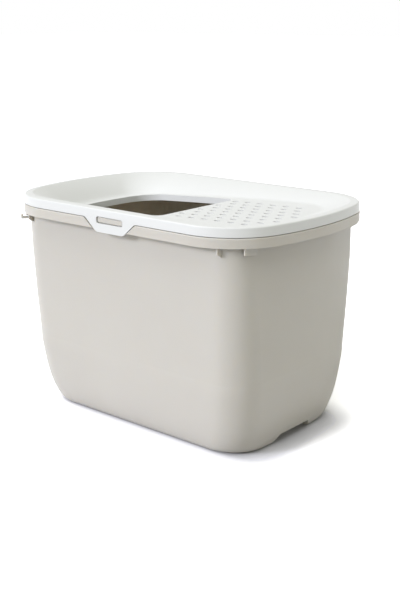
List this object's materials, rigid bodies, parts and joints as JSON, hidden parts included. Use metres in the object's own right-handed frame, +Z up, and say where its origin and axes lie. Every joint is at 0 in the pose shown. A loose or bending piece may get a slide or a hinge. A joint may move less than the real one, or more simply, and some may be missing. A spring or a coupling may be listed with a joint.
{
  "type": "top entry litter box",
  "caption": "Deep litter pan with a lift-off dished lid: an entry opening with a drop collar at one end, a perforated draining deck at the other, and two flexing snap latches.",
  "frame": {"origin": "centre of the bounding box in plan, on the plane of the foot ring", "axes": "+X along the length towards the draining deck, away from the entry; +Z up; -Y towards the front long side"},
  "size_m": [0.5848, 0.4, 0.3968],
  "materials": {
    "tub_plastic": "fine satin texture, warm grey",
    "lid_plastic": "satin white"
  },
  "bodies": {
    "tub": {"tub": "tub_plastic"},
    "lid": {"lid": "lid_plastic"},
    "latch_front": {"latch_front": "lid_plastic"},
    "latch_rear": {"latch_rear": "lid_plastic"}
  },
  "joints": [
    {"name": "lid_lift", "type": "slide", "parent": "tub", "child": "lid", "axis": [0, 0, 1], "range_m": [0, 0.45]},
    {"name": "latch_front_flex", "type": "hinge", "parent": "lid", "child": "latch_front", "pos_m": [0, -0.1991, 0.386], "axis": [1, 0, 0], "range_deg": [-12, 0], "stiffness_Nm_per_rad": 0.6},
    {"name": "latch_rear_flex", "type": "hinge", "parent": "lid", "child": "latch_rear", "pos_m": [0, 0.1991, 0.386], "axis": [1, 0, 0], "range_deg": [0, 12], "stiffness_Nm_per_rad": 0.6}
  ]
}
